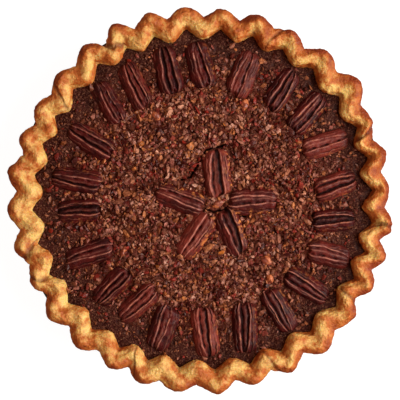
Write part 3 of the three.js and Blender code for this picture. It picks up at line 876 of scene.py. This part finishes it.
def ball_faces():
    """The twenty triangles of the twelve-pointed ball: every three points that are neighbours,
    ordered so that they face outwards."""
    near = np.linalg.norm(BALL[:, None] - BALL[None], axis=-1) < 1.2
    trios = [c for c in itertools.combinations(range(12), 3)
             if near[c[0], c[1]] and near[c[1], c[2]] and near[c[0], c[2]]]
    faces = np.array(trios)
    a, b, c = (BALL[faces[:, i]] for i in range(3))
    turned = np.sum(np.cross(b - a, c - a) * a, axis=1) < 0
    faces[turned] = faces[turned][:, ::-1]
    return faces


def scattered_places(count, chance):
    """Random places over the filling: dense in the middle, thin near the rim, off the laid
    nuts and the cracks. A place is kept if its chance is under the density there."""
    tries = 6 * count
    radius = SCATTER_RADIUS * np.sqrt(chance.uniform(0, 1, tries))
    turn = chance.uniform(0, 2 * np.pi, tries)
    x, y = radius * np.cos(turn), radius * np.sin(turn)
    patchy = 0.5 + 0.5 * soft_noise(np.stack([x, y, 0 * x], -1), 9, 30)
    density = np.interp(radius, [70, 88, 98, SCATTER_RADIUS], [1, 0.42, 0.2, 0.08])
    density = density * (0.72 + 0.5 * patchy)
    keep = (chance.uniform(0, 1, tries) < density) & (crack_distance(x, y) > 0.75)
    for middle, axes, half_size in footprints:
        own = np.stack([x - middle[0], y - middle[1]], -1) @ axes[:2, :2].T
        keep &= np.sum(np.abs(own / (half_size + 0.1)) ** 2.4, axis=-1) > 1
    return x[keep][:count], y[keep][:count]


def chopped(name, count, smallest, largest, seed, lift):
    """Many small angular bits as one mesh: each is the twelve-pointed ball with its points
    moved in and out, stretched, turned any way and part sunk in the custard."""
    chance = np.random.default_rng(seed)
    x, y = scattered_places(count, chance)
    count = len(x)
    size = smallest + (largest - smallest) * chance.uniform(0, 1, count) ** 1.7
    stretch = chance.uniform([0.95, 0.6, 0.4], [1.6, 1.05, 0.75], (count, 3))
    shape = BALL[None] * chance.uniform(0.55, 1.2, (count, 12, 1)) * stretch[:, None]
    shape = shape * size[:, None, None] / 2
    turns = np.linalg.qr(chance.normal(size=(count, 3, 3)))[0]
    turns[:, :, 0] *= np.linalg.det(turns)[:, None]
    bits = np.einsum("nij,nkj->nki", turns, shape)
    ground = filling_height(x, y) + 0.5 * soft_noise(np.stack([x, y, 0 * x], -1), 13, 10)
    sunk = np.interp(np.hypot(x, y), [70, 98], [lift, lift - 0.25])
    centre = np.stack([x, y, ground + sunk * size * chance.uniform(0.4, 1.0, count)], axis=-1)
    faces = ball_faces()[None] + 12 * np.arange(count)[:, None, None]
    piece = surface_object(name, (bits + centre[:, None]).reshape(-1, 3), [], faces, smooth=False)
    patch = 0.45 * soft_noise(np.stack([x, y, 0 * x], -1), 6.5, 31)
    soaked = np.interp(np.hypot(x, y), [62, 78], [1, 0.78])
    tone = soaked * np.clip(chance.uniform(0, 1, count) + patch, 0, 1)
    store(piece, "tone", np.repeat(tone, 12))
    store(piece, "blush", np.repeat(chance.uniform(0, 1, count), 12))
    # Painted shade: each bit darker towards its foot, where it sits in the custard.
    store(piece, "foot_shade", np.clip(0.45 - bits[..., 2] / size[:, None], 0, 1))
    return piece


def chopped_finish():
    """Glazed chopped nut: each bit its own tone from dark brown to tan, some redder and some
    honey-coloured, with painted shade that darkens it towards its foot, where it sits in the
    custard, and a faint sheen."""
    material, tree, shader = new_material(
        "glazed_chopped_nut", Coat_Roughness=0.16, Specular_IOR_Level=0.2)
    tone, blush = attribute(tree, "tone"), attribute(tree, "blush")
    stain = mottled(tree, 1.3, 0.4, 0.65, 8.0)
    base = mixed(tree, reckoned(tree, "POWER", tone, 1.5), colour(60, 10, 6), colour(190, 124, 108))
    base = mixed(tree, reckoned(tree, "POWER", tone, 8.0), base, colour(224, 172, 153))
    base = mixed(tree, reckoned(tree, "POWER", blush, 6.0), base, colour(150, 40, 26))
    honey = reckoned(tree, "POWER", reckoned(tree, "SUBTRACT", 1.0, blush), 1.8)
    honey = reckoned(tree, "MULTIPLY", honey, tone)
    base = mixed(tree, honey, base, colour(200, 114, 44))
    base = mixed(tree, reckoned(tree, "MULTIPLY", stain, 0.5), base, colour(66, 18, 11))
    # Painted shade at the foot of each bit.
    base = mixed(tree, attribute(tree, "foot_shade"), base, colour(40, 2, 1))
    tree.links.new(base, shader.inputs["Base Color"])
    tree.links.new(reckoned(tree, "MULTIPLY_ADD", tone, 0.2, 0.4), shader.inputs["Roughness"])
    tree.links.new(reckoned(tree, "MULTIPLY_ADD", stain, 0.2, 0.04), shader.inputs["Coat Weight"])
    bumped(tree, shader, stain, 0.25)
    return material


chopped_skin = chopped_finish()
for name, count, smallest, largest, seed, lift in (
        ("chopped_nuts_fine", 5000, 1.4, 2.7, 7, 0.22),
        ("chopped_nuts_medium", 3500, 2.5, 4.6, 8, 0.22),
        ("chopped_nuts_coarse", 560, 4.2, 6.5, 9, 0.15)):
    nuts = chopped(name, count, smallest, largest, seed, lift)
    settle(nuts, chopped_skin, "set_filling", "nut_filling")


# ------------------------------------------------------------------------------- studio
# A plain white table under a large soft lamp from the right (+X), with dim warm light all
# round, and a camera straight above with a long lens.

VIEW_WIDTH = 256.4
LENS = 180
SENSOR = 36
CAMERA_HEIGHT = VIEW_WIDTH * LENS / SENSOR + RIM_TOP

bpy.ops.mesh.primitive_plane_add(size=6)
floor = bpy.context.object
floor.name = "white_table"
floor_look = new_material(
    "white_table", Base_Color=(0.2, 0.2, 0.2, 1), Roughness=0.9,
    Emission_Color=(1, 1, 1, 1), Emission_Strength=0.96)[0]
floor.data.materials.append(floor_look)
floor.visible_diffuse = False
floor.visible_glossy = False

lamp_data = bpy.data.lights.new("window_lamp", "AREA")
lamp_data.shape = "DISK"
lamp_data.size = 1.3
lamp_data.energy = 29.5
lamp_data.color = (1.0, 0.98, 0.91)
lamp = bpy.data.objects.new("window_lamp", lamp_data)
lamp.location = (1.0, -0.02, 0.86)
lamp.rotation_euler = (-lamp.location).to_track_quat("-Z", "Y").to_euler()
bpy.context.scene.collection.objects.link(lamp)

world = bpy.data.worlds.new("pale_room")
world.use_nodes = True
seen = add_node(world.node_tree, "ShaderNodeLightPath").outputs["Is Camera Ray"]
room = mixed(world.node_tree, seen, (0.345, 0.19, 0.125, 1), (0.9, 0.9, 0.9, 1))
world.node_tree.links.new(room, world.node_tree.nodes["Background"].inputs["Color"])
bpy.context.scene.world = world
bpy.context.scene.view_settings.view_transform = "Standard"

camera = bpy.data.objects.new("camera", bpy.data.cameras.new("camera"))
camera.data.lens = LENS
camera.data.sensor_width = SENSOR
camera.location = (-0.0003, -0.0003, CAMERA_HEIGHT * MM)
bpy.context.scene.collection.objects.link(camera)
bpy.context.scene.camera = camera
